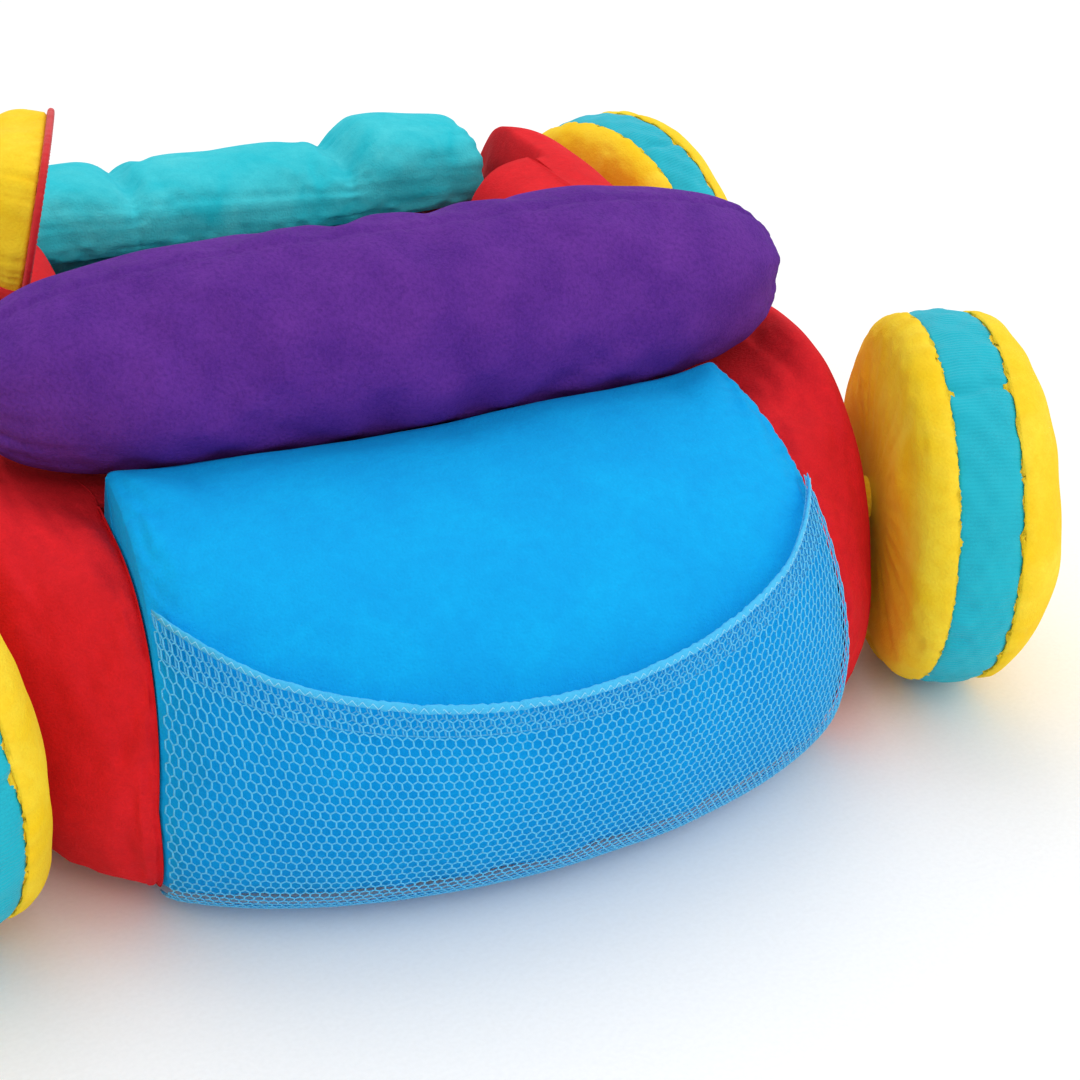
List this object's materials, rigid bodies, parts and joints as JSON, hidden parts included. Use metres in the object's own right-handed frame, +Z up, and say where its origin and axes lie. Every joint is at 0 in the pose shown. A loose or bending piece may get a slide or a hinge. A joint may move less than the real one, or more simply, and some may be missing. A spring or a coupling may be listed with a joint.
{
  "type": "baby floor seat",
  "caption": "Plush car-shaped floor seat for a baby: stuffed cushions round a seat well, backrest roll, padded dash, stuffed wheels, mesh pocket and a side mirror.",
  "frame": {"origin": "on the floor, on the middle plane of the seat's body and half way along it", "axes": "+X to the car's right, +Y to its front, +Z up"},
  "size_m": [0.8429, 0.8116, 0.3696],
  "materials": {
    "velour_red": "soft short-pile velour",
    "velour_blue": "soft short-pile velour",
    "velour_aqua": "soft short-pile velour",
    "velour_yellow": "soft short-pile velour",
    "fleece_purple": "fine brushed fleece",
    "tread_rib": "fine ribbed knit",
    "net": "hexagonal polyester net",
    "hem": "narrow elastic binding",
    "binding_red": "folded woven binding",
    "mirror_film": "flexible mirror film on a stiffener",
    "bottom_cloth": "plain woven cloth",
    "fibre_filling": "polyester fibre filling",
    "foam": "soft foam"
  },
  "bodies": {
    "seat_body": {"bottom_sheet": "bottom_cloth", "boot_cover": "velour_blue", "boot_filling": "fibre_filling", "bonnet_cover": "velour_blue", "bonnet_filling": "fibre_filling", "side_cover_right": "velour_red", "side_filling_right": "fibre_filling", "side_cover_left": "velour_red", "side_filling_left": "fibre_filling", "seat_back_cover": "velour_red", "seat_back_foam": "foam", "seat_pad_cover": "velour_aqua", "seat_pad_foam": "foam", "backrest_roll_cover": "fleece_purple", "backrest_roll_filling": "fibre_filling", "dash_bolster_cover": "velour_aqua", "dash_bolster_filling": "fibre_filling", "dash_shelf_cover": "velour_aqua", "dash_shelf_foam": "foam", "pocket_net": "net", "pocket_hem": "hem", "mirror_anchor": "binding_red", "wheel_rear_right_inner_panel": "velour_yellow", "wheel_rear_right_tread_band": "tread_rib", "wheel_rear_right_outer_panel": "velour_yellow", "wheel_rear_right_filling": "fibre_filling", "wheel_rear_right_patch": "velour_yellow", "wheel_rear_left_inner_panel": "velour_yellow", "wheel_rear_left_tread_band": "tread_rib", "wheel_rear_left_outer_panel": "velour_yellow", "wheel_rear_left_filling": "fibre_filling", "wheel_rear_left_patch": "velour_yellow", "wheel_front_right_inner_panel": "velour_yellow", "wheel_front_right_tread_band": "tread_rib", "wheel_front_right_outer_panel": "velour_yellow", "wheel_front_right_filling": "fibre_filling", "wheel_front_right_patch": "velour_yellow", "wheel_front_left_inner_panel": "velour_yellow", "wheel_front_left_tread_band": "tread_rib", "wheel_front_left_outer_panel": "velour_yellow", "wheel_front_left_filling": "fibre_filling", "wheel_front_left_patch": "velour_yellow"},
    "mirror": {"mirror_tab": "binding_red", "mirror_back": "velour_yellow", "mirror_filling": "fibre_filling", "mirror_rim": "binding_red", "mirror_film_panel": "mirror_film"}
  },
  "joints": [
    {"name": "mirror_fold", "type": "hinge", "parent": "seat_body", "child": "mirror", "pos_m": [-0.2275, 0.022, 0.2584], "axis": [0.225, 0.9744, 0], "range_deg": [-40, 18]}
  ]
}
